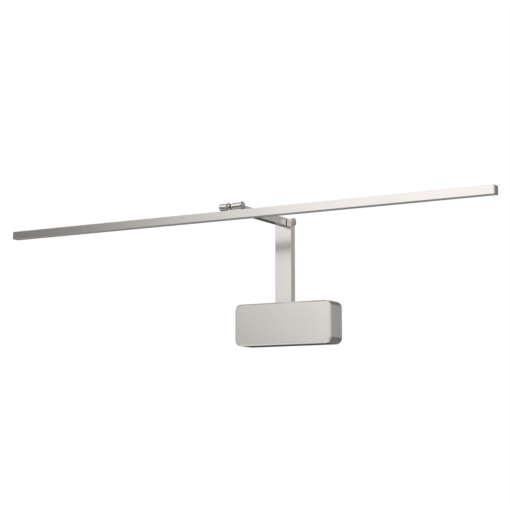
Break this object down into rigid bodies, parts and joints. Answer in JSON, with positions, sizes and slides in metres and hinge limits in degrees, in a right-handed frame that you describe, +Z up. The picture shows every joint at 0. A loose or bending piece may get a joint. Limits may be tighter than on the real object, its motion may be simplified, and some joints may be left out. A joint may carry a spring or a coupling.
{
  "type": "picture light",
  "caption": "Slim LED picture light: a wall housing, an upright flat arm, a folding upper arm and a long tilting light bar with a clamp knob.",
  "frame": {"origin": "centre of the housing's wall face", "axes": "+X along the light bar, -Y out of the wall, +Z up"},
  "size_m": [0.6, 0.1479, 0.1473],
  "materials": {
    "satin_nickel": "satin nickel plate, finely brushed",
    "bright_nickel": "polished nickel",
    "hinge_nickel": "satin nickel plate, fine",
    "zinc_steel": "zinc-plated sheet steel",
    "screw_steel": "zinc-plated",
    "black_nylon": "matte",
    "grommet_rubber": "matte",
    "block_plastic": "natural nylon",
    "driver_plastic": "matte moulded white",
    "board_green": "solder mask",
    "board_white": "white solder mask",
    "component_black": "moulded",
    "led_yellow": "phosphor cap",
    "opal": "opal, satin",
    "lead_white": "cable sheath",
    "lead_brown_blue": "wire insulation"
  },
  "bodies": {
    "root": {"wall_bracket": "zinc_steel", "cable_grommet": "grommet_rubber", "terminal_block": "block_plastic", "terminal_screws": "screw_steel", "block_screw": "screw_steel", "earth_screw": "screw_steel", "driver_base": "driver_plastic", "driver_case": "driver_plastic", "driver_board": "board_green", "driver_components": "component_black", "driver_screws": "screw_steel", "input_leads": "lead_brown_blue", "supply_lead": "lead_white", "housing_cover": "satin_nickel", "cover_screws": "screw_steel", "foot_plate": "zinc_steel", "arm_foot": "zinc_steel", "foot_screws": "screw_steel", "foot_pins": "screw_steel", "lower_arm": "satin_nickel", "fork_insert": "hinge_nickel", "fork_pins": "screw_steel", "pivot_screw": "bright_nickel", "pivot_nut": "bright_nickel", "pivot_washers": "black_nylon"},
    "upper_arm_body": {"rear_tongue": "hinge_nickel", "upper_arm": "satin_nickel", "tongue_pins": "screw_steel", "upper_arm_lead": "lead_white", "front_tongue": "hinge_nickel"},
    "light_bar": {"saddle": "hinge_nickel", "saddle_screws": "screw_steel", "tilt_bolt": "bright_nickel", "friction_washer": "black_nylon", "ring_washer": "bright_nickel", "bar_profile": "satin_nickel", "led_board": "board_white", "led_chips": "led_yellow", "diffuser": "opal", "end_cap_left": "hinge_nickel", "end_cap_right": "hinge_nickel", "bar_lead": "lead_white"},
    "knob_body": {"clamp_knob": "bright_nickel"}
  },
  "joints": [
    {"name": "arm_fold", "type": "hinge", "parent": "root", "child": "upper_arm_body", "pos_m": [0, -0.0203, 0.1181], "axis": [1, 0, 0], "range_deg": [-90, 0]},
    {"name": "bar_tilt", "type": "hinge", "parent": "upper_arm_body", "child": "light_bar", "pos_m": [0, -0.143, 0.1181], "axis": [1, 0, 0], "range_deg": [-90, 45]},
    {"name": "knob_turn", "type": "hinge", "parent": "light_bar", "child": "knob_body", "pos_m": [-0.01, -0.143, 0.1181], "axis": [1, 0, 0], "range_deg": [-180, 180]}
  ]
}
